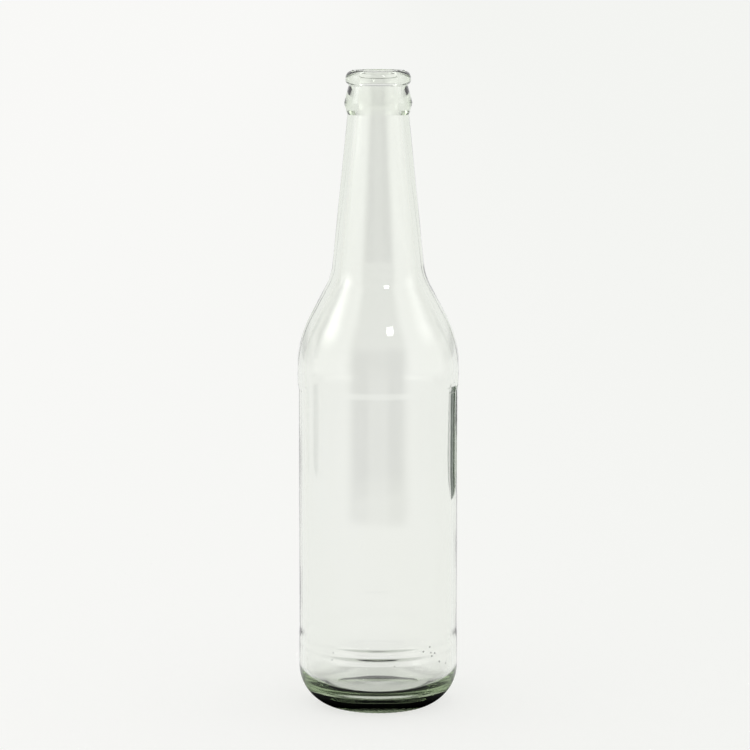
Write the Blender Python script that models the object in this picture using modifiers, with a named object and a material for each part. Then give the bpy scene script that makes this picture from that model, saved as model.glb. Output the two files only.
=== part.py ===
"""A half-litre long-necked beer bottle in clear glass, empty and open at the mouth.

The bottle is one turned body of glass: a heavy base with a push-up under it, a
large round heel, a recessed label panel between two raised bands, a sloping
shoulder, a conical neck and a crown finish with its reinforcing bead. Its
section is one line that starts at the middle of the floor inside, runs up the
inner wall, over the lip, down the outer wall and back to the axis below.

Lengths are in metres and Z is up. The origin is the middle of the base, on the
plane that the bottle stands on.
"""

import math

import bpy

# Whole bottle
HEIGHT = 0.2630
BODY_RADIUS = 0.0333
SIDES = 64
CHORD_ERROR = 0.00005

# Base and heel
HEEL_RADIUS = 0.0330
HEEL_CURVE = 0.0178
HEEL_CURVE_TOP = 0.0165
BEARING_WIDTH = 0.0040
PUSH_UP_HEIGHT = 0.0020
FLOOR_MIDDLE = 0.0070
FLOOR_EDGE = 0.0085
FLOOR_CURVE = 0.0068

# Label panel, recessed between the heel band and the shoulder band
PANEL_RADIUS = 0.03283
PANEL_BOTTOM = 0.0318
PANEL_TOP = 0.1320
STEP_HEIGHT = 0.0024

# Wall thickness
PANEL_WALL = 0.00248
SHOULDER_WALL = 0.0030
NECK_FOOT_WALL = 0.0029
NECK_TOP_WALL = 0.00365

# Shoulder and neck
SHOULDER_CORNER = 0.1522
SHOULDER_CURVE = 0.045
NECK_FOOT = 0.1793
NECK_FOOT_RADIUS = 0.01922
NECK_FOOT_CURVE = 0.024
NECK_TOP = 0.2452
NECK_TOP_RADIUS = 0.01255

# Crown finish
LIP_RADIUS = 0.0133
LIP_HEIGHT = 0.0050
LIP_TOP_CURVE = 0.0030
LIP_LOWER_CURVE = 0.0016
GROOVE_RADIUS = 0.01195
GROOVE_DEPTH = 0.0058
GROOVE_CURVE = 0.0007
BEAD_CORNER_RADIUS = 0.0140
BEAD_DEPTH = 0.0133
BEAD_CURVE = 0.0030
BORE_RADIUS = 0.0083
BORE_DEPTH = 0.0120
MOUTH_CURVE = 0.0020

GLASS_COLOUR = (0.86, 0.91, 0.87, 1.0)
GLASS_ROUGHNESS = 0.02
GLASS_IOR = 1.52


def clear_scene():
    """Removes every object that is in the scene."""
    for obj in list(bpy.data.objects):
        bpy.data.objects.remove(obj, do_unlink=True)


def direction(start, end):
    """The unit vector from one (radius, height) point to another."""
    length = math.dist(start, end)
    return ((end[0] - start[0]) / length, (end[1] - start[1]) / length)


def arc(centre, radius, start, sweep):
    """Points on an arc, close enough together to keep within CHORD_ERROR."""
    step = 2 * math.acos(1 - CHORD_ERROR / radius)
    count = max(2, math.ceil(abs(sweep) / step))
    angles = [start + sweep * i / count for i in range(count + 1)]
    return [
        (centre[0] + radius * math.cos(a), centre[1] + radius * math.sin(a))
        for a in angles
    ]


def fillet(before, corner, after, radius):
    """The arc of this radius that rounds a corner of the section."""
    back = direction(corner, before)
    ahead = direction(corner, after)
    half = math.acos(back[0] * ahead[0] + back[1] * ahead[1]) / 2
    middle = direction((0, 0), (back[0] + ahead[0], back[1] + ahead[1]))
    reach = radius / math.sin(half)
    centre = (corner[0] + middle[0] * reach, corner[1] + middle[1] * reach)
    run = radius / math.tan(half)
    first = (corner[0] + back[0] * run, corner[1] + back[1] * run)
    last = (corner[0] + ahead[0] * run, corner[1] + ahead[1] * run)
    start = math.atan2(first[1] - centre[1], first[0] - centre[0])
    end = math.atan2(last[1] - centre[1], last[0] - centre[0])
    sweep = (end - start + math.pi) % (2 * math.pi) - math.pi
    return arc(centre, radius, start, sweep)


def rounded(corners):
    """The line through (radius, height, curve) corners, each rounded by its curve."""
    places = [corner[:2] for corner in corners]
    points = [places[0]]
    for i in range(1, len(corners) - 1):
        curve = corners[i][2]
        if curve:
            points += fillet(places[i - 1], places[i], places[i + 1], curve)
        else:
            points.append(places[i])
    return points + [places[-1]]


def inner_wall():
    """Corners of the inside, from the middle of the floor up to the mouth."""
    wall = PANEL_RADIUS - PANEL_WALL
    slope = (BODY_RADIUS - NECK_FOOT_RADIUS) / (NECK_FOOT - SHOULDER_CORNER)
    lean = math.atan(slope)
    foot = NECK_FOOT_RADIUS - NECK_FOOT_WALL
    drop = SHOULDER_WALL / math.cos(lean)
    shoulder = SHOULDER_CORNER - (drop - (BODY_RADIUS - wall)) / slope
    neck_foot = shoulder + (wall - foot) / slope
    return [
        (0.0, FLOOR_MIDDLE, 0),
        (wall, FLOOR_EDGE, FLOOR_CURVE),
        (wall, shoulder, SHOULDER_CURVE),
        (foot, neck_foot, NECK_FOOT_CURVE),
        (NECK_TOP_RADIUS - NECK_TOP_WALL, NECK_TOP, 0),
        (BORE_RADIUS, HEIGHT - BORE_DEPTH, 0),
        (BORE_RADIUS, HEIGHT, MOUTH_CURVE),
    ]


def crown_finish():
    """Corners of the lip, the groove under it and the reinforcing bead."""
    return [
        (LIP_RADIUS, HEIGHT, LIP_TOP_CURVE),
        (LIP_RADIUS, HEIGHT - LIP_HEIGHT, LIP_LOWER_CURVE),
        (GROOVE_RADIUS, HEIGHT - GROOVE_DEPTH, GROOVE_CURVE),
        (BEAD_CORNER_RADIUS, HEIGHT - BEAD_DEPTH, BEAD_CURVE),
        (NECK_TOP_RADIUS, NECK_TOP, 0),
    ]


def neck_and_shoulder():
    """Corners where the neck meets the shoulder and the shoulder meets the body."""
    return [
        (NECK_FOOT_RADIUS, NECK_FOOT, NECK_FOOT_CURVE),
        (BODY_RADIUS, SHOULDER_CORNER, SHOULDER_CURVE),
    ]


def label_panel():
    """Corners of the panel and of the two small steps that frame it."""
    return [
        (BODY_RADIUS, PANEL_TOP + STEP_HEIGHT, 0),
        (PANEL_RADIUS, PANEL_TOP, 0),
        (PANEL_RADIUS, PANEL_BOTTOM, 0),
        (HEEL_RADIUS, PANEL_BOTTOM - STEP_HEIGHT, 0),
    ]


def heel_and_underside():
    """Points of the heel's large arc, the flat bearing ring and the push-up."""
    centre = (HEEL_RADIUS - HEEL_CURVE, HEEL_CURVE_TOP)
    sweep = -math.asin(HEEL_CURVE_TOP / HEEL_CURVE)
    heel = arc(centre, HEEL_CURVE, 0.0, sweep)
    bearing = heel[-1][0] - BEARING_WIDTH
    dome = (bearing**2 + PUSH_UP_HEIGHT**2) / (2 * PUSH_UP_HEIGHT)
    sweep = math.asin(bearing / dome)
    middle = (0.0, PUSH_UP_HEIGHT - dome)
    vault = arc(middle, dome, math.pi / 2 - sweep, sweep)
    return heel + [(bearing, 0.0)] + vault[1:-1] + [(0.0, PUSH_UP_HEIGHT)]


def section():
    """The whole section, from the axis inside to the axis below."""
    corners = inner_wall() + crown_finish() + neck_and_shoulder() + label_panel()
    heel = heel_and_underside()
    line = rounded(corners + [(*heel[0], 0)])
    return line + heel[1:]


def glass():
    """Clear glass with the faint green of its iron."""
    material = bpy.data.materials.new("clear_glass")
    material.use_nodes = True
    shader = material.node_tree.nodes["Principled BSDF"]
    shader.inputs["Base Color"].default_value = GLASS_COLOUR
    shader.inputs["Metallic"].default_value = 0.0
    shader.inputs["Roughness"].default_value = GLASS_ROUGHNESS
    shader.inputs["IOR"].default_value = GLASS_IOR
    shader.inputs["Transmission Weight"].default_value = 1.0
    return material


def make_bottle(collection):
    """The section turned once round the Z axis."""
    points = [(radius, 0.0, height) for radius, height in section()]
    edges = [(i, i + 1) for i in range(len(points) - 1)]
    mesh = bpy.data.meshes.new("bottle")
    mesh.from_pydata(points, edges, [])
    bottle = bpy.data.objects.new("bottle", mesh)
    collection.objects.link(bottle)
    turn = bottle.modifiers.new("turn", "SCREW")
    turn.axis = "Z"
    turn.angle = 2 * math.pi
    turn.screw_offset = 0.0
    turn.steps = SIDES
    turn.render_steps = SIDES
    turn.use_merge_vertices = True
    turn.merge_threshold = 0.00001
    turn.use_smooth_shade = True
    mesh.materials.append(glass())
    return bottle


def main():
    """Builds the bottle in its own collection."""
    clear_scene()
    collection = bpy.data.collections.new("beer_bottle")
    bpy.context.scene.collection.children.link(collection)
    make_bottle(collection)


main()
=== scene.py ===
"""A clear glass long-necked beer bottle, empty and open, on a pale studio table.

The bottle is one piece of blown glass. It is modelled as the real thing: an outer
skin that took the shape of its mould, an inner skin that the blown air left a
little uneven, knurls round the ring it stands on, the two seams of the mould and
a few seeds, which are small bubbles shut in the glass.

Lengths are in metres and Z is up. The origin is the middle of the base.
"""

from __future__ import annotations

import logging
import math
from dataclasses import dataclass
from enum import Enum

import bmesh
import bpy
import numpy as np
from mathutils import Matrix, Vector

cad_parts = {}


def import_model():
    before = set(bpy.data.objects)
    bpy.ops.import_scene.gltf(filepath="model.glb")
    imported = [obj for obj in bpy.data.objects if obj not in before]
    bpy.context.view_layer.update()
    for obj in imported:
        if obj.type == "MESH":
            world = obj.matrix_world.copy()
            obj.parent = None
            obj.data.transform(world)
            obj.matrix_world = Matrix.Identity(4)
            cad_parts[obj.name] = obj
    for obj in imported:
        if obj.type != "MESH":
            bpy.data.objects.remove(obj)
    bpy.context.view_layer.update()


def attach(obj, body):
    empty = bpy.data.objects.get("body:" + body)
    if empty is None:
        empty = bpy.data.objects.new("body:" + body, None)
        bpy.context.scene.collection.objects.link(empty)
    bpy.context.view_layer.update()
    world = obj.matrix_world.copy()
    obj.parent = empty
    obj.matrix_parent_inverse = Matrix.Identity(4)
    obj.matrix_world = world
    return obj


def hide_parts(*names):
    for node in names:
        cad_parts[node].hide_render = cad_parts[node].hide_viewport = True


LOG = logging.getLogger("beer_bottle")
MM = 0.001
FINE_STEP = 0.5 * MM
FEWEST_CHORDS = 3
Point = tuple[float, float]
Corner = tuple[float, float, float]
Point3 = tuple[float, float, float]
Socket = bpy.types.NodeSocket
Tree = bpy.types.NodeTree

# A mix node's inputs: its share, its two levels and its two colours. Then its output.
SHARE = 0
LEVEL_A, LEVEL_B = 2, 3
COLOUR_A, COLOUR_B = 6, 7
MIXED_COLOUR = 2


class Skin(Enum):
    """The two faces of the glass wall."""

    INNER = 0
    OUTER = 1


class Side(Enum):
    """The sides of the bottle, as the sign of X."""

    LEFT = -1
    RIGHT = 1


# ---------------------------------------------------------------- shared tools


def linear(hex_colour: str) -> tuple[float, float, float, float]:
    """Turns an sRGB hex colour into linear RGBA.

    Args:
        hex_colour: Six hex digits, such as "f2f4ef".

    Returns:
        Red, green, blue and an alpha of 1.
    """
    parts = [int(hex_colour[i : i + 2], 16) / 255 for i in (0, 2, 4)]
    out = [c / 12.92 if c <= 0.04045 else ((c + 0.055) / 1.055) ** 2.4 for c in parts]
    return (out[0], out[1], out[2], 1.0)


def add_node(
    tree: Tree, kind: str, settings: dict | None = None, links: dict | None = None
) -> bpy.types.Node:
    """Adds a node with its settings and its links.

    Args:
        tree: The node tree that takes the node.
        kind: Blender's name for the node's type.
        settings: Properties by name, and input values by name or number.
        links: Output sockets by the input that each one feeds.

    Returns:
        The new node.
    """
    node = tree.nodes.new(kind)
    for name, value in (settings or {}).items():
        if isinstance(name, str) and name not in node.inputs:
            setattr(node, name, value)
        else:
            node.inputs[name].default_value = value
    for name, source in (links or {}).items():
        tree.links.new(source, node.inputs[name])
    return node


def new_material(name: str) -> bpy.types.Material:
    """Makes a material whose node tree is still empty.

    Args:
        name: The material's name.

    Returns:
        The new material.
    """
    material = bpy.data.materials.new(name)
    material.use_nodes = True
    material.node_tree.nodes.clear()
    return material


def soft_step(edge: float, blur: float, low: float = 0.0, high: float = 1.0) -> dict:
    """Works out the settings of a soft step from one level to another.

    Args:
        edge: Where the step is half way.
        blur: How far the step reaches to either side.
        low: The level before the step.
        high: The level after it.

    Returns:
        The settings by name.
    """
    return {
        "interpolation_type": "SMOOTHSTEP",
        "From Min": edge - blur,
        "From Max": edge + blur,
        "To Min": low,
        "To Max": high,
    }


def spread(level: float, depth: float) -> dict:
    """Gives the settings that let a pattern lower and raise a level by a share of it."""
    return {"To Min": (1 - depth) * level, "To Max": (1 + depth) * level}


def two_colours(first_hex: str, second_hex: str) -> dict:
    """Gives the settings of a mix of two colours."""
    return {"data_type": "RGBA", COLOUR_A: linear(first_hex), COLOUR_B: linear(second_hex)}


def azimuth_of(tree: Tree, parts: bpy.types.Node) -> Socket:
    """Works out the angle round from the front.

    Args:
        tree: The node tree that takes the working.
        parts: The node that splits a place into X, Y and Z.

    Returns:
        The angle in degrees, alike to the left and to the right.
    """
    side = add_node(tree, "ShaderNodeMath", {"operation": "ABSOLUTE"}, {0: parts.outputs["X"]})
    front = add_node(
        tree, "ShaderNodeMath", {"operation": "MULTIPLY", 1: -1.0}, {0: parts.outputs["Y"]}
    )
    links = {0: side.outputs[0], 1: front.outputs[0]}
    turn = add_node(tree, "ShaderNodeMath", {"operation": "ARCTAN2"}, links).outputs[0]
    return add_node(tree, "ShaderNodeMath", {"operation": "DEGREES"}, {0: turn}).outputs[0]


def placed(
    mesh: bmesh.types.BMesh, name: str, material: bpy.types.Material
) -> bpy.types.Object:
    """Puts a finished mesh into the scene.

    Args:
        mesh: The mesh, which is freed.
        name: The object's name.
        material: Its finish.

    Returns:
        The new object.
    """
    data = bpy.data.meshes.new(name)
    mesh.to_mesh(data)
    mesh.free()
    data.materials.append(material)
    made = bpy.data.objects.new(name, data)
    bpy.context.scene.collection.objects.link(made)
    return made


def show_to_glass_only(obj: bpy.types.Object) -> None:
    """Hides an object from all but the glass.

    Args:
        obj: The object, which diffuse light and shadows pass by too.
    """
    obj.visible_camera = False
    obj.visible_diffuse = False
    obj.visible_shadow = False


def direction(start: Point, end: Point) -> Point:
    """Gives the unit vector from one point of the section to another."""
    length = math.dist(start, end)
    return ((end[0] - start[0]) / length, (end[1] - start[1]) / length)


def arc(centre: Point, radius: float, start: float, sweep: float, error: float) -> list[Point]:
    """Lays points along an arc of the section.

    Args:
        centre: Radius and height of the arc's centre.
        radius: The arc's own radius.
        start: Angle of the first point, in radians.
        sweep: Angle that the arc covers, in radians.
        error: The most that a chord may depart from the arc.

    Returns:
        The points from the first end to the last.
    """
    step = 2 * math.acos(1 - error / radius)
    count = max(FEWEST_CHORDS, math.ceil(abs(sweep) / step))
    angles = [start + sweep * i / count for i in range(count + 1)]
    return [(centre[0] + radius * math.cos(a), centre[1] + radius * math.sin(a)) for a in angles]


def fillet(before: Point, corner: Point, after: Point, radius: float, error: float) -> list[Point]:
    """Rounds a corner of the section.

    Args:
        before: The point that the line comes from.
        corner: The sharp corner.
        after: The point that the line goes on to.
        radius: Radius of the rounding.
        error: The most that a chord may depart from the arc.

    Returns:
        The points of the arc that takes the corner's place.
    """
    back = direction(corner, before)
    ahead = direction(corner, after)
    half = math.acos(back[0] * ahead[0] + back[1] * ahead[1]) / 2
    middle = direction((0.0, 0.0), (back[0] + ahead[0], back[1] + ahead[1]))
    reach = radius / math.sin(half)
    centre = (corner[0] + middle[0] * reach, corner[1] + middle[1] * reach)
    run = radius / math.tan(half)
    first = (corner[0] + back[0] * run, corner[1] + back[1] * run)
    last = (corner[0] + ahead[0] * run, corner[1] + ahead[1] * run)
    start = math.atan2(first[1] - centre[1], first[0] - centre[0])
    end = math.atan2(last[1] - centre[1], last[0] - centre[0])
    sweep = (end - start + math.pi) % (2 * math.pi) - math.pi
    return arc(centre, radius, start, sweep, error)


def rounded(corners: list[Corner], error: float) -> list[Point]:
    """Runs a line through corners and rounds each one.

    Args:
        corners: Radius, height and rounding of each corner.
        error: The most that a chord may depart from an arc.

    Returns:
        The points of the rounded line.
    """
    places = [corner[:2] for corner in corners]
    points = [places[0]]
    for i in range(1, len(corners) - 1):
        curve = corners[i][2]
        if curve:
            points += fillet(places[i - 1], places[i], places[i + 1], curve, error)
        else:
            points.append(places[i])
    return points + [places[-1]]


def between(start: Point, end: Point, share: float) -> Point:
    """Gives the point at this share of the way from one point to another."""
    return (start[0] + (end[0] - start[0]) * share, start[1] + (end[1] - start[1]) * share)


def divided(points: list[Point], longest: float, low: float, high: float) -> list[Point]:
    """Cuts the long stretches of a line, so that it can carry gentle waves.

    Args:
        points: The line's points.
        longest: The longest stretch that stays whole.
        low: Bottom of the zone that is cut finer.
        high: Top of that zone.

    Returns:
        The line with points added.
    """
    out = [points[0]]
    for start, end in zip(points, points[1:]):
        count = max(1, math.ceil(math.dist(start, end) / longest))
        for i in range(count):
            first = between(start, end, i / count)
            last = between(start, end, (i + 1) / count)
            inside = low < max(first[1], last[1]) and min(first[1], last[1]) < high
            parts = max(1, math.ceil(math.dist(first, last) / FINE_STEP)) if inside else 1
            out += [between(first, last, (j + 1) / parts) for j in range(parts)]
    return out


def bell(value: np.ndarray, middle: float, width: float) -> np.ndarray:
    """Gives a smooth bump of height 1 that is over by about twice its width."""
    return np.exp(-(((value - middle) / width) ** 2))


# -------------------------------------------------------------------- finishes


@dataclass(frozen=True)
class BlownFlintGlass:
    """Soda-lime flint glass, blown in an iron mould.

    It is clear where the wall is thin. A trace of iron makes it grey-green along the
    long ways through the heel, the lip and the edges. The chilled skin has faint
    ripples, which break up the reflections a little.
    """

    name: str = "blown_flint_glass"
    clear_hex: str = "ffffff"
    streak_hex: str = "fdfdfb"
    ior: float = 1.52
    loss_per_metre: tuple[float, float, float] = (15.2, 11.5, 19.0)
    density: float = 100.0
    streak_length: float = 30 * MM
    streak_stretch: float = 0.35
    ripple_length: float = 7 * MM
    ripple_height: float = 0.004 * MM

    def make(self) -> bpy.types.Material:
        """Builds the material.

        Returns:
            The glass, with its loss of light as a volume.
        """
        material = new_material(self.name)
        tree = material.node_tree
        place = add_node(tree, "ShaderNodeTexCoord")
        stretched = add_node(
            tree,
            "ShaderNodeMapping",
            {"Scale": (1.0, 1.0, self.streak_stretch)},
            {"Vector": place.outputs["Object"]},
        )
        streaks = add_node(
            tree,
            "ShaderNodeTexNoise",
            {"Scale": 1 / self.streak_length, "Detail": 3.0},
            {"Vector": stretched.outputs["Vector"]},
        )
        ripples = add_node(
            tree,
            "ShaderNodeTexNoise",
            {"Scale": 1 / self.ripple_length, "Detail": 1.0},
            {"Vector": place.outputs["Object"]},
        )
        bump = add_node(
            tree,
            "ShaderNodeBump",
            {"Strength": 1.0, "Distance": self.ripple_height},
            {"Height": ripples.outputs["Fac"]},
        )
        colour = add_node(
            tree,
            "ShaderNodeMix",
            two_colours(self.clear_hex, self.streak_hex),
            {SHARE: streaks.outputs["Fac"]},
        )
        shader = add_node(
            tree,
            "ShaderNodeBsdfPrincipled",
            {"Roughness": 0.0, "IOR": self.ior, "Transmission Weight": 1.0},
            {"Base Color": colour.outputs[MIXED_COLOUR], "Normal": bump.outputs["Normal"]},
        )
        keeps = tuple(1 - loss / self.density for loss in self.loss_per_metre)
        volume = add_node(
            tree, "ShaderNodeVolumeAbsorption", {"Color": (*keeps, 1.0), "Density": self.density}
        )
        add_node(
            tree,
            "ShaderNodeOutputMaterial",
            {},
            {"Surface": shader.outputs["BSDF"], "Volume": volume.outputs["Volume"]},
        )
        return material


# ------------------------------------------------------------ parts of the glass


@dataclass(frozen=True)
class CrownFinish:
    """The mouth: a rolled lip for a crown cap, a groove and a reinforcing bead."""

    lip_radius: float = 13.3 * MM
    lip_height: float = 5.0 * MM
    lip_top_curve: float = 3.0 * MM
    lip_lower_curve: float = 1.6 * MM
    groove_radius: float = 11.95 * MM
    groove_depth: float = 5.8 * MM
    groove_curve: float = 0.7 * MM
    bead_corner_radius: float = 14.0 * MM
    bead_depth: float = 13.3 * MM
    bead_curve: float = 3.0 * MM
    crease_curve: float = 0.35 * MM
    bore_radius: float = 8.3 * MM
    bore_depth: float = 12.0 * MM
    bore_curve: float = 6.0 * MM
    mouth_curve: float = 2.0 * MM

    def inside(self, top: float) -> list[Corner]:
        """Lays out the bore.

        Args:
            top: Height of the lip's top.

        Returns:
            Its corners, upwards.
        """
        return [
            (self.bore_radius, top - self.bore_depth, self.bore_curve),
            (self.bore_radius, top, self.mouth_curve),
        ]

    def outside(self, top: float) -> list[Corner]:
        """Lays out the lip, the groove and the bead.

        Args:
            top: Height of the lip's top.

        Returns:
            Their corners, downwards.
        """
        return [
            (self.lip_radius, top, self.lip_top_curve),
            (self.lip_radius, top - self.lip_height, self.lip_lower_curve),
            (self.groove_radius, top - self.groove_depth, self.groove_curve),
            (self.bead_corner_radius, top - self.bead_depth, self.bead_curve),
        ]


@dataclass(frozen=True)
class NeckAndShoulder:
    """A conical neck that opens into a sloping shoulder."""

    shoulder_corner: float = 152.2 * MM
    shoulder_curve: float = 45 * MM
    neck_foot: float = 179.3 * MM
    neck_foot_radius: float = 19.22 * MM
    neck_foot_curve: float = 24 * MM
    neck_top: float = 245.2 * MM
    neck_top_radius: float = 12.55 * MM
    shoulder_wall: float = 3.0 * MM
    neck_foot_wall: float = 2.9 * MM
    neck_top_wall: float = 3.65 * MM
    bore_foot_curve: float = 8.0 * MM

    def outside(self, body_radius: float, crease_curve: float) -> list[Corner]:
        """Lays out the outer skin.

        Args:
            body_radius: Outer radius of the body.
            crease_curve: Rounding of the crease under the bead.

        Returns:
            The corners, downwards from the crease.
        """
        return [
            (self.neck_top_radius, self.neck_top, crease_curve),
            (self.neck_foot_radius, self.neck_foot, self.neck_foot_curve),
            (body_radius, self.shoulder_corner, self.shoulder_curve),
        ]

    def inside(self, body_radius: float, wall_radius: float) -> list[Corner]:
        """Lays out the inner skin, which the wall's thickness sets.

        Args:
            body_radius: Outer radius of the body.
            wall_radius: Inner radius of the body at its top.

        Returns:
            The corners, upwards from the top of the body.
        """
        slope = (body_radius - self.neck_foot_radius) / (self.neck_foot - self.shoulder_corner)
        foot = self.neck_foot_radius - self.neck_foot_wall
        drop = self.shoulder_wall / math.cos(math.atan(slope))
        shoulder = self.shoulder_corner - (drop - (body_radius - wall_radius)) / slope
        neck_foot = shoulder + (wall_radius - foot) / slope
        return [
            (wall_radius, shoulder, self.shoulder_curve),
            (foot, neck_foot, self.neck_foot_curve),
            (self.neck_top_radius - self.neck_top_wall, self.neck_top, self.bore_foot_curve),
        ]


@dataclass(frozen=True)
class Body:
    """The straight body, with a label panel sunk between two low steps."""

    radius: float = 33.3 * MM
    panel_radius: float = 32.83 * MM
    panel_bottom: float = 31.8 * MM
    panel_top: float = 132.0 * MM
    step_height: float = 2.4 * MM
    step_curve: float = 2.0 * MM
    panel_wall: float = 2.48 * MM
    follow: float = 0.8

    def band_wall_radius(self) -> float:
        """Gives the inner radius behind the band above the panel."""
        rise = (self.radius - self.panel_radius) * self.follow
        return self.panel_radius - self.panel_wall + rise

    def inside(self) -> list[Corner]:
        """Lays out the inner skin behind the upper step, which the glass follows.

        Returns:
            The corners, upwards.
        """
        return [
            (self.panel_radius - self.panel_wall, self.panel_top, self.step_curve),
            (self.band_wall_radius(), self.panel_top + self.step_height, self.step_curve),
        ]

    def outside(self, heel_radius: float) -> list[Corner]:
        """Lays out the panel and its two steps.

        Args:
            heel_radius: Outer radius of the band below the panel.

        Returns:
            The corners, downwards.
        """
        return [
            (self.radius, self.panel_top + self.step_height, self.step_curve),
            (self.panel_radius, self.panel_top, self.step_curve),
            (self.panel_radius, self.panel_bottom, self.step_curve),
            (heel_radius, self.panel_bottom - self.step_height, self.step_curve),
        ]


@dataclass(frozen=True)
class HeelAndBase:
    """The round heel, the ring that the bottle stands on and the push-up."""

    heel_radius: float = 33.0 * MM
    heel_curve: float = 17.8 * MM
    heel_curve_top: float = 16.5 * MM
    bearing_width: float = 4.0 * MM
    push_up_height: float = 2.0 * MM
    floor_middle: float = 7.1 * MM
    floor_edge: float = 8.5 * MM
    floor_curve: float = 8.5 * MM

    def bearing_outer(self) -> float:
        """Gives the outer radius of the ring that the bottle stands on."""
        run = math.sqrt(self.heel_curve**2 - self.heel_curve_top**2)
        return self.heel_radius - self.heel_curve + run

    def outside(self, error: float) -> list[Point]:
        """Lays out the heel, the standing ring and the push-up.

        Args:
            error: The most that a chord may depart from an arc.

        Returns:
            The points from the top of the heel to the axis below.
        """
        centre = (self.heel_radius - self.heel_curve, self.heel_curve_top)
        sweep = -math.asin(self.heel_curve_top / self.heel_curve)
        heel = arc(centre, self.heel_curve, 0.0, sweep, error)
        bearing = self.bearing_outer() - self.bearing_width
        dome = (bearing**2 + self.push_up_height**2) / (2 * self.push_up_height)
        sweep = math.asin(bearing / dome)
        middle = (0.0, self.push_up_height - dome)
        vault = arc(middle, dome, math.pi / 2 - sweep, sweep, error)
        return heel + [(bearing, 0.0)] + vault[1:-1] + [(0.0, self.push_up_height)]

    def inside(self, wall_radius: float) -> list[Corner]:
        """Lays out the floor.

        Args:
            wall_radius: Inner radius of the wall.

        Returns:
            The corners, from the middle to the wall.
        """
        return [
            (0.0, self.floor_middle, 0.0),
            (wall_radius, self.floor_edge, self.floor_curve),
        ]


@dataclass(frozen=True)
class Knurls:
    """Short ridges round the standing ring, which keep its glass off a wet belt."""

    count: int = 56
    depth: float = 0.12 * MM
    middle: float = 22.1 * MM
    width: float = 0.5 * MM
    below: float = 3 * MM

    def lift(self, radius: np.ndarray, height: np.ndarray, angle: np.ndarray) -> np.ndarray:
        """Works out how far the glass between the ridges stands back from the table.

        Args:
            radius: Radius of each place on the skin.
            height: Its height.
            angle: Its angle round the axis.

        Returns:
            The lift of each place.
        """
        low = bell(radius, self.middle, self.width) * (height < self.below)
        gap = 0.5 - 0.5 * np.cos(self.count * angle)
        return self.depth * low * gap


@dataclass(frozen=True)
class Stipple:
    """The dimpled skin of the push-up, which the rough base plate of the mould leaves."""

    height: float = 0.1 * MM
    pitch: float = 1.7 * MM
    edge: float = 17 * MM
    fade: float = 1 * MM
    below: float = 6 * MM
    row_sway: tuple[float, float] = (1.7, 3.0)
    spot_sway: tuple[float, float] = (1.3, 4.0)

    def lift(self, radius: np.ndarray, height: np.ndarray, angle: np.ndarray) -> np.ndarray:
        """Works out how far the dimples move the skin under the base.

        Args:
            radius: Radius of each place on the skin.
            height: Its height.
            angle: Its angle round the axis.

        Returns:
            The lift of each place.
        """
        turn = 2 * math.pi / self.pitch
        across, along = radius * np.cos(angle), radius * np.sin(angle)
        sway, stretch = self.row_sway
        rows = np.sin(turn * across + sway * np.sin(turn * along / stretch))
        sway, stretch = self.spot_sway
        spots = np.sin(turn * along + sway * np.sin(turn * across / stretch))
        within = np.clip((self.edge - radius) / self.fade, 0, 1) * (height < self.below)
        return self.height * rows * spots * within


@dataclass(frozen=True)
class MouldSeam:
    """The fine fins that the halves of the mould leave on opposite sides."""

    height: float = 0.05 * MM
    width: float = 0.6 * MM

    def rise(self, radius: np.ndarray, angle: np.ndarray) -> np.ndarray:
        """Gives how far the fins stand out, at angles 0 and half a turn."""
        across = np.abs(np.sin(angle)) * radius
        return self.height * np.clip(1 - across / self.width, 0, 1)


@dataclass(frozen=True)
class UnevenWall:
    """Slow changes in the wall's thickness, which blowing leaves inside."""

    lean: float = 0.15 * MM
    lean_turn: float = 0.7
    lean_middle: float = 90 * MM
    lean_width: float = 60 * MM
    wave: float = 0.05 * MM
    wave_length: float = 38 * MM
    heavy_side: float = 0.25 * MM
    heavy_middle: float = 108 * MM
    heavy_width: float = 20 * MM
    ripple_height: float = 0.33 * MM
    ripple_length: float = 4.1 * MM
    ripple_middle: float = 26.3 * MM
    ripple_width: float = 4.0 * MM
    ripple_spread: float = 0.75
    even_below: float = 16 * MM
    floor_fade: float = 10 * MM
    even_above: float = 235 * MM
    neck_fade: float = 20 * MM

    def ripple_span(self) -> Point:
        """Gives the lowest and the highest place that the ripples reach."""
        reach = 2 * self.ripple_width
        return (self.ripple_middle - reach, self.ripple_middle + reach)

    def extra(self, height: np.ndarray, angle: np.ndarray) -> np.ndarray:
        """Works out the glass that is added to the inside.

        Args:
            height: Height of each place on the inner skin.
            angle: Its angle round the axis.

        Returns:
            The added thickness at each place.
        """
        slow = self.lean * np.sin(angle + self.lean_turn)
        slow = slow * bell(height, self.lean_middle, self.lean_width)
        turns = 2 * math.pi * height / self.wave_length
        waves = self.wave * np.sin(turns + 2 * np.sin(angle)) * np.sin(2 * angle + turns / 3)
        heavy = self.heavy_side * np.clip(np.cos(angle), 0, 1) ** 2
        heavy = heavy * bell(height, self.heavy_middle, self.heavy_width)
        front = np.arctan2(np.cos(angle), -np.sin(angle))
        settle = np.sin(2 * math.pi * (height - self.ripple_middle) / self.ripple_length)
        settle = settle * bell(height, self.ripple_middle, self.ripple_width)
        settle = self.ripple_height * settle * bell(front, 0.0, self.ripple_spread)
        keep = np.clip((height - self.even_below) / self.floor_fade, 0, 1)
        keep = keep * np.clip((self.even_above - height) / self.neck_fade, 0, 1)
        return (slow + waves + heavy + settle) * keep


@dataclass(frozen=True)
class Seed:
    """A small bubble shut in the wall.

    Args:
        azimuth: Degrees round from the front, towards the right.
        height: Height above the table.
        size: Diameter of the bubble.
    """

    azimuth: float
    height: float
    size: float


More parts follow.
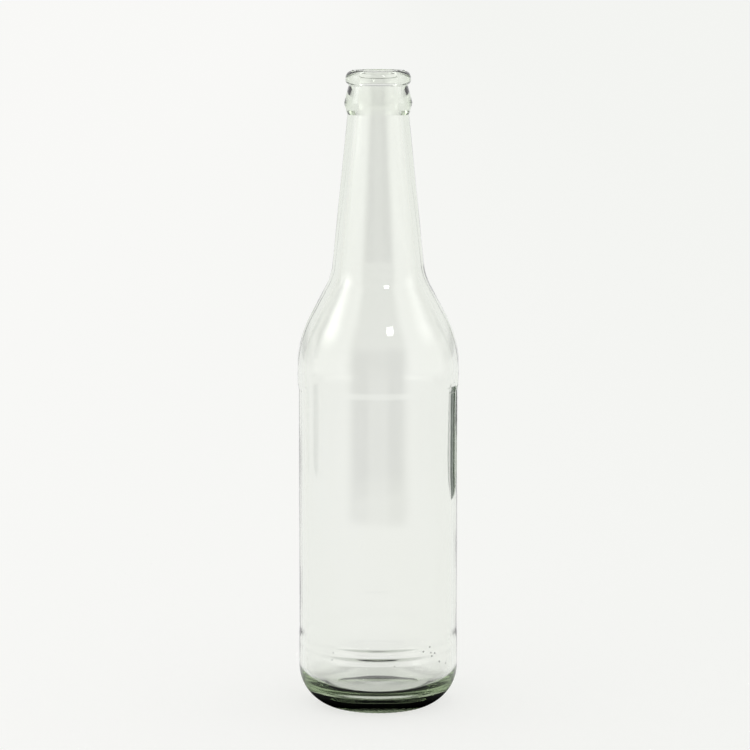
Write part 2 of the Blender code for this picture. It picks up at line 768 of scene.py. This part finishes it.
@dataclass(frozen=True)
class BeerBottle:
    """The whole bottle, as one turned body of glass."""

    height: float = 263.0 * MM
    finish: CrownFinish = CrownFinish()
    neck: NeckAndShoulder = NeckAndShoulder()
    body: Body = Body()
    base: HeelAndBase = HeelAndBase()
    knurls: Knurls = Knurls()
    stipple: Stipple = Stipple()
    seam: MouldSeam = MouldSeam()
    wall: UnevenWall = UnevenWall()
    glass: BlownFlintGlass = BlownFlintGlass()
    seeds: tuple[Seed, ...] = (
        Seed(35, 27.0 * MM, 0.8 * MM),
        Seed(41, 28.5 * MM, 0.7 * MM),
        Seed(42, 26.0 * MM, 0.6 * MM),
        Seed(46, 25.5 * MM, 0.7 * MM),
        Seed(43, 24.5 * MM, 0.7 * MM),
        Seed(51, 21.5 * MM, 0.8 * MM),
        Seed(59, 20.0 * MM, 0.7 * MM),
        Seed(12, 22.0 * MM, 0.5 * MM),
        Seed(-35, 26.5 * MM, 0.5 * MM),
        Seed(-36, 23.5 * MM, 0.5 * MM),
    )
    sides: int = 256
    seed_detail: int = 2
    error: float = 0.005 * MM
    longest: float = 4.0 * MM

    def middle_of_lip(self) -> Corner:
        """Gives the place on the lip's top where the two skins meet."""
        return ((self.finish.bore_radius + self.finish.lip_radius) / 2, self.height, 0.0)

    def inner_section(self) -> list[Point]:
        """Draws the inner skin.

        Returns:
            Its line, from the middle of the floor to the lip's top.
        """
        wall = self.body.panel_radius - self.body.panel_wall
        corners = self.base.inside(wall) + self.body.inside()
        corners += self.neck.inside(self.body.radius, self.body.band_wall_radius())
        corners += self.finish.inside(self.height) + [self.middle_of_lip()]
        return divided(rounded(corners, self.error), self.longest, *self.wall.ripple_span())

    def outer_section(self) -> list[Point]:
        """Draws the outer skin.

        Returns:
            Its line, from the lip's top to the middle of the push-up.
        """
        corners = [self.middle_of_lip()] + self.finish.outside(self.height)
        corners += self.neck.outside(self.body.radius, self.finish.crease_curve)
        corners += self.body.outside(self.base.heel_radius)
        heel = self.base.outside(self.error)
        line = rounded(corners + [(*heel[0], 0.0)], self.error)
        return divided(line + heel[1:], self.longest, 0.0, self.base.push_up_height)

    def rings(self) -> np.ndarray:
        """Lays out the glass as rings of points round the axis.

        Returns:
            An array of rings by sides by three coordinates, without the two poles.
        """
        inner = self.inner_section()[1:]
        outer = self.outer_section()[1:-1]
        line = np.array(inner + outer)
        skin = np.array([Skin.INNER.value] * len(inner) + [Skin.OUTER.value] * len(outer))
        angle = 2 * math.pi * np.arange(self.sides) / self.sides
        radius, turn = np.meshgrid(line[:, 0], angle, indexing="ij")
        height = np.repeat(line[:, 1:2], self.sides, axis=1)
        outside = (skin == Skin.OUTER.value)[:, None]
        radius = radius - np.where(outside, 0.0, self.wall.extra(height, turn))
        ribbed = outside & (height > self.base.heel_curve_top)
        finned = np.minimum(radius + self.seam.rise(radius, turn), self.body.radius)
        radius = np.where(ribbed, np.maximum(radius, finned), radius)
        marks = self.knurls.lift(radius, height, turn) + self.stipple.lift(radius, height, turn)
        height = height + np.where(outside, marks, 0.0)
        return np.stack([radius * np.cos(turn), radius * np.sin(turn), height], axis=2)

    def add_seeds(self, mesh: bmesh.types.BMesh) -> None:
        """Shuts the bubbles in the wall, as hollows whose faces look inwards.

        Args:
            mesh: The glass under construction.
        """
        for seed in self.seeds:
            radius = self.body.panel_radius - self.body.panel_wall / 2
            angle = math.radians(seed.azimuth - 90)
            place = (radius * math.cos(angle), radius * math.sin(angle), seed.height)
            matrix = Matrix.Translation(Vector(place))
            made = bmesh.ops.create_icosphere(
                mesh, subdivisions=self.seed_detail, radius=seed.size / 2, matrix=matrix
            )
            faces = {face for vertex in made["verts"] for face in vertex.link_faces}
            bmesh.ops.reverse_faces(mesh, faces=list(faces))

    def build(self) -> bpy.types.Object:
        """Builds and dresses the glass.

        Returns:
            The bottle, riding on the root body.
        """
        rings = self.rings()
        mesh = bmesh.new()
        grid = [[mesh.verts.new(point) for point in ring] for ring in rings]
        floor = mesh.verts.new((0.0, 0.0, self.base.floor_middle))
        crown = mesh.verts.new((0.0, 0.0, self.base.push_up_height))
        for j in range(self.sides):
            k = (j + 1) % self.sides
            mesh.faces.new((floor, grid[0][j], grid[0][k]))
            for below, above in zip(grid, grid[1:]):
                mesh.faces.new((below[j], above[j], above[k], below[k]))
            mesh.faces.new((grid[-1][j], crown, grid[-1][k]))
        self.add_seeds(mesh)
        bottle = placed(mesh, "glass_bottle", self.glass.make())
        bottle.data.shade_smooth()
        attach(bottle, "root")
        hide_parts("bottle")
        return bottle


# ------------------------------------------------------------------- the studio


@dataclass(frozen=True)
class TablePaper:
    """Matt white paper, whose painted glow keeps shadows on it faint and whose painted falloff of
    light makes it lighter on the left.
    """

    name: str = "table_paper"
    # Painted light: the paper's colour runs from a lighter left tone to a darker right tone, a
    # falloff of light across the table.
    painted_lit_left_hex: str = "fcfcfa"
    painted_shade_right_hex: str = "f7f8f5"
    painted_falloff_width: float = 0.4
    shaded_share: float = 0.35
    # Painted light: the paper glows with this strength, which fills in and weakens the shadows that
    # fall on it.
    glow: float = 0.71
    fibre_length: float = 1.2 * MM
    fibre_height: float = 0.01 * MM

    def make(self) -> bpy.types.Material:
        """Builds the material, part of its light glowing and part taking shadows.

        Returns:
            The paper.
        """
        material = new_material(self.name)
        tree = material.node_tree
        place = add_node(tree, "ShaderNodeTexCoord")
        fibres = add_node(
            tree,
            "ShaderNodeTexNoise",
            {"Scale": 1 / self.fibre_length},
            {"Vector": place.outputs["Object"]},
        )
        bump = add_node(
            tree, "ShaderNodeBump", {"Distance": self.fibre_height}, {"Height": fibres.outputs["Fac"]}
        )
        parts = add_node(tree, "ShaderNodeSeparateXYZ", {}, {0: place.outputs["Object"]})
        # Painted light falloff across X, from the lighter left tone to the darker right one.
        across = add_node(
            tree, "ShaderNodeMapRange", soft_step(0.0, self.painted_falloff_width), {"Value": parts.outputs["X"]}
        )
        paper = add_node(
            tree,
            "ShaderNodeMix",
            two_colours(self.painted_lit_left_hex, self.painted_shade_right_hex),
            {SHARE: across.outputs["Result"]},
        ).outputs[MIXED_COLOUR]
        shaded = add_node(
            tree,
            "ShaderNodeVectorMath",
            {"operation": "SCALE", "Scale": self.shaded_share},
            {0: paper},
        )
        shader = add_node(
            tree,
            "ShaderNodeBsdfPrincipled",
            {"Roughness": 1.0, "Specular IOR Level": 0.0, "Emission Strength": self.glow},
            {
                "Base Color": shaded.outputs["Vector"],
                "Emission Color": paper,
                "Normal": bump.outputs["Normal"],
            },
        )
        add_node(tree, "ShaderNodeOutputMaterial", {}, {"Surface": shader.outputs["BSDF"]})
        return material


@dataclass(frozen=True)
class TableInGlass:
    """The same table as the glass gathers it: white, dim past its front edge, and darker round the
    bottle's foot in a painted shadow.

    Sectors are in degrees round from the front.
    """

    name: str = "table_in_glass"
    white: float = 0.93
    front_edge: float = 0.46
    edge_blur: float = 0.03
    front_dim: float = 0.0
    front_middle: float = 0.28
    sector: float = 42.0
    sector_blur: float = 10.0
    middle_sector: float = 15.0
    middle_blur: float = 4.0
    # Painted shadow: the glow is lowered to this level round the bottle's foot.
    painted_foot_shadow_level: float = 0.75
    painted_foot_shadow_radius: float = 40 * MM
    painted_foot_shadow_blur: float = 7 * MM

    def make(self) -> bpy.types.Material:
        """Builds the material, whose light depends on the place on the table.

        Returns:
            The glowing table top.
        """
        material = new_material(self.name)
        tree = material.node_tree
        place = add_node(tree, "ShaderNodeTexCoord").outputs["Object"]
        parts = add_node(tree, "ShaderNodeSeparateXYZ", {}, {0: place})
        azimuth = azimuth_of(tree, parts)
        reach = add_node(
            tree, "ShaderNodeVectorMath", {"operation": "LENGTH"}, {0: place}
        ).outputs["Value"]
        middle_edge = (self.middle_sector, self.middle_blur)
        steps = (
            (reach, soft_step(self.front_edge, self.edge_blur)),
            (azimuth, soft_step(self.sector, self.sector_blur, 1.0, 0.0)),
            (azimuth, soft_step(*middle_edge, self.front_middle, self.front_dim)),
            # Painted shadow round the foot: the glow falls to the shadow level within this radius.
            (reach, soft_step(self.painted_foot_shadow_radius, self.painted_foot_shadow_blur, self.painted_foot_shadow_level, self.white)),
        )
        beyond, within, middle, under = (
            add_node(tree, "ShaderNodeMapRange", step, {"Value": source}).outputs["Result"]
            for source, step in steps
        )
        dark = add_node(tree, "ShaderNodeMath", {"operation": "MULTIPLY"}, {0: beyond, 1: within})
        level = add_node(
            tree,
            "ShaderNodeMix",
            {"data_type": "FLOAT"},
            {SHARE: dark.outputs[0], LEVEL_A: under, LEVEL_B: middle},
        )
        glow = add_node(tree, "ShaderNodeEmission", {}, {"Strength": level.outputs[0]})
        add_node(tree, "ShaderNodeOutputMaterial", {}, {"Surface": glow.outputs["Emission"]})
        return material


@dataclass(frozen=True)
class DiffuserCloth:
    """White nylon, lit from behind, which spans some directions only.

    Its edges and the lamps' azimuth are in degrees round from the front.
    """

    name: str = "diffuser_cloth"
    light: float = 1.35
    front_edge: float = 42.0
    front_blur: float = 10.0
    back_edge: float = 104.0
    back_blur: float = 8.0
    bottom: float = 0.105
    bottom_blur: float = 0.015
    hot_light: tuple[float, float] = (2.4, 1.1)
    hot_azimuth: float = 86.0
    hot_height: float = 0.34
    hot_reach: float = 0.14
    weave_per_metre: float = 12.0
    weave_depth: float = 0.03

    def cover(self, tree: Tree, parts: bpy.types.Node) -> Socket:
        """Works out where the cloth hangs.

        Args:
            tree: The material's node tree.
            parts: The node that splits the place into X, Y and Z.

        Returns:
            1 where the cloth hangs and 0 where it does not.
        """
        azimuth = azimuth_of(tree, parts)
        steps = (
            (azimuth, soft_step(self.back_edge, self.back_blur, 1.0, 0.0)),
            (azimuth, soft_step(self.front_edge, self.front_blur)),
            (parts.outputs["Z"], soft_step(self.bottom, self.bottom_blur)),
        )
        cover, *others = (
            add_node(tree, "ShaderNodeMapRange", step, {"Value": source}).outputs["Result"]
            for source, step in steps
        )
        for share in others:
            cover = add_node(
                tree, "ShaderNodeMath", {"operation": "MULTIPLY"}, {0: cover, 1: share}
            ).outputs[0]
        return cover

    def hot_spot(self, tree: Tree, place: Socket, centre: Point3, light: float) -> Socket:
        """Works out the light of one lamp close behind the cloth.

        Args:
            tree: The material's node tree.
            place: The place on the cloth.
            centre: Where the lamp is nearest.
            light: The light there.

        Returns:
            The light that the lamp adds at each place.
        """
        away = add_node(
            tree, "ShaderNodeVectorMath", {"operation": "DISTANCE", 1: centre}, {0: place}
        )
        middle = self.hot_reach / 2
        fall = soft_step(middle, middle, light, 0.0)
        links = {"Value": away.outputs["Value"]}
        return add_node(tree, "ShaderNodeMapRange", fall, links).outputs["Result"]

    def make(self, radius: float) -> bpy.types.Material:
        """Builds the material, whose light depends on azimuth and height.

        Args:
            radius: Radius of the ring that the cloth hangs on.

        Returns:
            The cloth, which is clear where it does not hang.
        """
        material = new_material(self.name)
        tree = material.node_tree
        place = add_node(tree, "ShaderNodeTexCoord").outputs["Object"]
        parts = add_node(tree, "ShaderNodeSeparateXYZ", {}, {0: place})
        weave = add_node(
            tree, "ShaderNodeTexNoise", {"Scale": self.weave_per_metre}, {"Vector": place}
        )
        level = add_node(
            tree,
            "ShaderNodeMapRange",
            spread(self.light, self.weave_depth),
            {"Value": weave.outputs["Fac"]},
        ).outputs["Result"]
        turn = math.radians(self.hot_azimuth)
        for which, light in zip(Side, self.hot_light):
            across = which.value * radius * math.sin(turn)
            centre = (across, -radius * math.cos(turn), self.hot_height)
            patch = self.hot_spot(tree, place, centre, light)
            level = add_node(
                tree, "ShaderNodeMath", {"operation": "ADD"}, {0: level, 1: patch}
            ).outputs[0]
        glow = add_node(tree, "ShaderNodeEmission", {}, {"Strength": level})
        beyond = add_node(tree, "ShaderNodeBsdfTransparent")
        cloth = add_node(
            tree,
            "ShaderNodeMixShader",
            {},
            {0: self.cover(tree, parts), 1: beyond.outputs[0], 2: glow.outputs["Emission"]},
        )
        add_node(tree, "ShaderNodeOutputMaterial", {}, {"Surface": cloth.outputs[0]})
        material.cycles.emission_sampling = "NONE"
        return material


@dataclass(frozen=True)
class ClothRing:
    """A ring round the bottle that carries a cloth, where only the glass sees it."""

    name: str = "diffusers"
    cloth: DiffuserCloth = DiffuserCloth()
    radius: float = 0.34
    bottom: float = 0.06
    top: float = 0.9
    sides: int = 96

    def build(self) -> None:
        """Hangs the cloth."""
        mesh = bmesh.new()
        bmesh.ops.create_cone(
            mesh,
            segments=self.sides,
            radius1=self.radius,
            radius2=self.radius,
            depth=self.top - self.bottom,
            matrix=Matrix.Translation((0.0, 0.0, (self.top + self.bottom) / 2)),
        )
        ring = placed(mesh, self.name, self.cloth.make(self.radius))
        ring.data.shade_smooth()
        show_to_glass_only(ring)


@dataclass(frozen=True)
class BlackFlag:
    """A strip of black velvet behind one side, which draws that edge of the glass.

    Args:
        side: The side of the bottle that it stands on.
        outline: Its corners, as degrees round from the front and height in millimetres.
    """

    side: Side
    outline: tuple[Point, ...]
    radius: float = 0.12
    pile_length: float = 2 * MM
    deep_hex: str = "0a160d"
    sheen_hex: str = "3a5f42"

    def corner(self, azimuth: float, height: float) -> Point3:
        """Gives the place of one corner of the velvet.

        Args:
            azimuth: Degrees round from the front.
            height: Height in millimetres.

        Returns:
            The corner.
        """
        turn = math.radians(azimuth)
        across = self.side.value * self.radius * math.sin(turn)
        return (across, -self.radius * math.cos(turn), height * MM)

    def velvet(self) -> bpy.types.Material:
        """Makes the velvet, deep black-green with a little light on its pile.

        Returns:
            The material.
        """
        material = new_material("black_velvet")
        tree = material.node_tree
        pile = add_node(tree, "ShaderNodeTexNoise", {"Scale": 1 / self.pile_length})
        colour = add_node(
            tree,
            "ShaderNodeMix",
            two_colours(self.deep_hex, self.sheen_hex),
            {SHARE: pile.outputs["Fac"]},
        )
        shader = add_node(
            tree,
            "ShaderNodeBsdfPrincipled",
            {"Roughness": 1.0, "Specular IOR Level": 0.0},
            {"Base Color": colour.outputs[MIXED_COLOUR]},
        )
        add_node(tree, "ShaderNodeOutputMaterial", {}, {"Surface": shader.outputs["BSDF"]})
        return material

    def build(self) -> None:
        """Stands the strip up, where only the glass sees it."""
        mesh = bmesh.new()
        mesh.faces.new([mesh.verts.new(self.corner(*place)) for place in self.outline])
        flag = placed(mesh, f"black_flag_{self.side.name.lower()}", self.velvet())
        show_to_glass_only(flag)


@dataclass(frozen=True)
class Window:
    """A far window of two panes, which leaves small bright marks on the shoulder."""

    light: float = 14.0
    azimuth: float = 22.0
    height_angle: float = 42.0
    distance: float = 6.0
    pane: tuple[float, float] = (0.42, 0.7)
    gap: float = 0.05
    sky_per_metre: float = 1.5
    sky_depth: float = 0.2

    def daylight(self) -> bpy.types.Material:
        """Makes the light behind the panes, which soft clouds vary.

        Returns:
            The glowing material.
        """
        material = new_material("window_daylight")
        tree = material.node_tree
        sky = add_node(tree, "ShaderNodeTexNoise", {"Scale": self.sky_per_metre})
        level = add_node(
            tree,
            "ShaderNodeMapRange",
            spread(self.light, self.sky_depth),
            {"Value": sky.outputs["Fac"]},
        )
        glow = add_node(tree, "ShaderNodeEmission", {}, {"Strength": level.outputs["Result"]})
        add_node(tree, "ShaderNodeOutputMaterial", {}, {"Surface": glow.outputs["Emission"]})
        material.cycles.emission_sampling = "NONE"
        return material

    def build(self) -> None:
        """Hangs the panes, where only the glass sees them."""
        turn = math.radians(self.azimuth)
        rise = math.radians(self.height_angle)
        flat = self.distance * math.cos(rise)
        place = Vector(
            (flat * math.sin(turn), -flat * math.cos(turn), self.distance * math.sin(rise))
        )
        aim = place.to_track_quat("Z", "Y").to_matrix().to_4x4()
        width, height = self.pane
        mesh = bmesh.new()
        for which in Side:
            shift = which.value * (width + self.gap) / 2
            matrix = Matrix.Translation(place) @ aim @ Matrix.Translation((shift, 0.0, 0.0))
            size = Matrix.Diagonal((width / 2, height / 2, 1.0, 1.0))
            bmesh.ops.create_grid(mesh, x_segments=1, y_segments=1, size=1.0, matrix=matrix @ size)
        panes = placed(mesh, "window", self.daylight())
        show_to_glass_only(panes)


@dataclass(frozen=True)
class Room:
    """The dark room beyond the table, which a pale wall hides from the camera.

    Heights are in degrees above the horizon.
    """

    wall: float = 0.92
    seen_wall: float = 1.15
    dark: float = 0.0
    sheet_top: float = 14.0
    sheet_blur: float = 2.5
    high_front: float = 0.06
    high_edge: float = 8.0
    high_blur: float = 6.0

    def build(self) -> None:
        """Sets up the world's light."""
        world = bpy.data.worlds.new("room")
        world.cycles.sampling_method = "NONE"
        bpy.context.scene.world = world
        world.use_nodes = True
        tree = world.node_tree
        tree.nodes.clear()
        place = add_node(tree, "ShaderNodeTexCoord")
        parts = add_node(tree, "ShaderNodeSeparateXYZ", {}, {0: place.outputs["Generated"]})
        height = add_node(tree, "ShaderNodeMath", {"operation": "ARCSINE"}, {0: parts.outputs["Z"]})
        degrees = add_node(tree, "ShaderNodeMath", {"operation": "DEGREES"}, {0: height.outputs[0]})
        links = {"Value": degrees.outputs[0]}
        high, sheet = (
            add_node(tree, "ShaderNodeMapRange", step, links).outputs["Result"]
            for step in (
                soft_step(self.high_edge, self.high_blur, self.dark, self.high_front),
                soft_step(self.sheet_top, self.sheet_blur, self.wall, self.dark),
            )
        )
        in_front = add_node(
            tree, "ShaderNodeMath", {"operation": "LESS_THAN", 1: 0.0}, {0: parts.outputs["Y"]}
        )
        level = add_node(
            tree,
            "ShaderNodeMix",
            {"data_type": "FLOAT"},
            {SHARE: in_front.outputs[0], LEVEL_A: sheet, LEVEL_B: high},
        )
        ray = add_node(tree, "ShaderNodeLightPath")
        for kind, wall in (("Is Diffuse Ray", self.wall), ("Is Camera Ray", self.seen_wall)):
            level = add_node(
                tree,
                "ShaderNodeMix",
                {"data_type": "FLOAT", LEVEL_B: wall},
                {SHARE: ray.outputs[kind], LEVEL_A: level.outputs[0]},
            )
        sky = add_node(tree, "ShaderNodeBackground", {}, {"Strength": level.outputs[0]})
        add_node(tree, "ShaderNodeOutputWorld", {}, {"Surface": sky.outputs["Background"]})


@dataclass(frozen=True)
class Studio:
    """A pale table with soft light round it, in a dark room."""

    table_half: float = 30.0
    paper: TablePaper = TablePaper()
    # The mirrored table's painted shadow round the bottle's foot is black.
    mirrored: TableInGlass = TableInGlass(painted_foot_shadow_level=0.0, painted_foot_shadow_radius=50 * MM, painted_foot_shadow_blur=26 * MM)
    seen_through: TableInGlass = TableInGlass(name="table_through_glass")
    light: ClothRing = ClothRing()
    card: ClothRing = ClothRing(
        name="neck_card",
        cloth=DiffuserCloth(
            name="white_card",
            light=0.93,
            front_edge=100.0,
            back_edge=200.0,
            bottom=0.165,
            bottom_blur=0.01,
            hot_light=(0.0, 0.0),
        ),
        radius=0.12,
        bottom=0.15,
        top=0.34,
    )
    window: Window = Window()
    flag: BlackFlag = BlackFlag(
        Side.RIGHT, ((128, 69), (138, 71), (145, 76), (145, 116.5), (126, 116.5), (126, 80))
    )
    room: Room = Room()
    sink: float = 0.02 * MM
    bounces: int = 24
    glossy_bounces: int = 12

    def table(self, name: str, material: bpy.types.Material) -> bpy.types.Object:
        """Makes one flat table top.

        Args:
            name: The object's name.
            material: Its finish.

        Returns:
            The table top.
        """
        mesh = bmesh.new()
        bmesh.ops.create_grid(mesh, x_segments=1, y_segments=1, size=self.table_half)
        top = placed(mesh, name, material)
        return top

    def tables(self) -> None:
        """Lays the table that the camera sees, and its likenesses for the glass."""
        seen = self.table("table", self.paper.make())
        seen.visible_glossy = False
        seen.visible_transmission = False
        mirrored = self.table("table_mirrored", self.mirrored.make())
        mirrored.visible_transmission = False
        through = self.table("table_through", self.seen_through.make())
        through.visible_glossy = False
        for top in (mirrored, through):
            show_to_glass_only(top)
            top.location.z = -self.sink

    def build(self) -> None:
        """Sets up the tables, the light and how light is traced."""
        self.tables()
        self.light.build()
        self.card.build()
        self.window.build()
        self.flag.build()
        self.room.build()
        bpy.context.scene.view_settings.view_transform = "Standard"
        cycles = bpy.context.scene.cycles
        cycles.use_denoising = True
        cycles.max_bounces = self.bounces
        cycles.transmission_bounces = self.bounces
        cycles.glossy_bounces = self.glossy_bounces
        cycles.transparent_max_bounces = self.bounces


@dataclass(frozen=True)
class ProductCamera:
    """A long lens, a little above the bottle and level with its sides."""

    lens: float = 152.7
    sensor: float = 36.0
    aside: float = -1.32 * MM
    distance: float = 1.3
    height: float = 0.322
    pitch: float = -8.07
    sight: float = 100.0

    def build(self) -> bpy.types.Object:
        """Places the camera and makes it the scene's own.

        Returns:
            The camera.
        """
        data = bpy.data.cameras.new("camera")
        data.lens = self.lens
        data.sensor_width = self.sensor
        data.clip_end = self.sight
        camera = bpy.data.objects.new("camera", data)
        camera.location = (self.aside, -self.distance, self.height)
        camera.rotation_euler = (math.radians(90 + self.pitch), 0.0, 0.0)
        bpy.context.scene.collection.objects.link(camera)
        bpy.context.scene.camera = camera
        return camera


def main() -> None:
    """Builds the bottle, its studio and the camera, and logs the bottle's faces."""
    logging.basicConfig(level=logging.INFO, format="%(name)s: %(message)s")
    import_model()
    bottle = BeerBottle().build()
    LOG.info("glass_bottle: %d faces", len(bottle.data.polygons))
    Studio().build()
    LOG.info("studio: table and light")
    ProductCamera().build()
    LOG.info("camera")


if __name__ == "__main__":
    main()
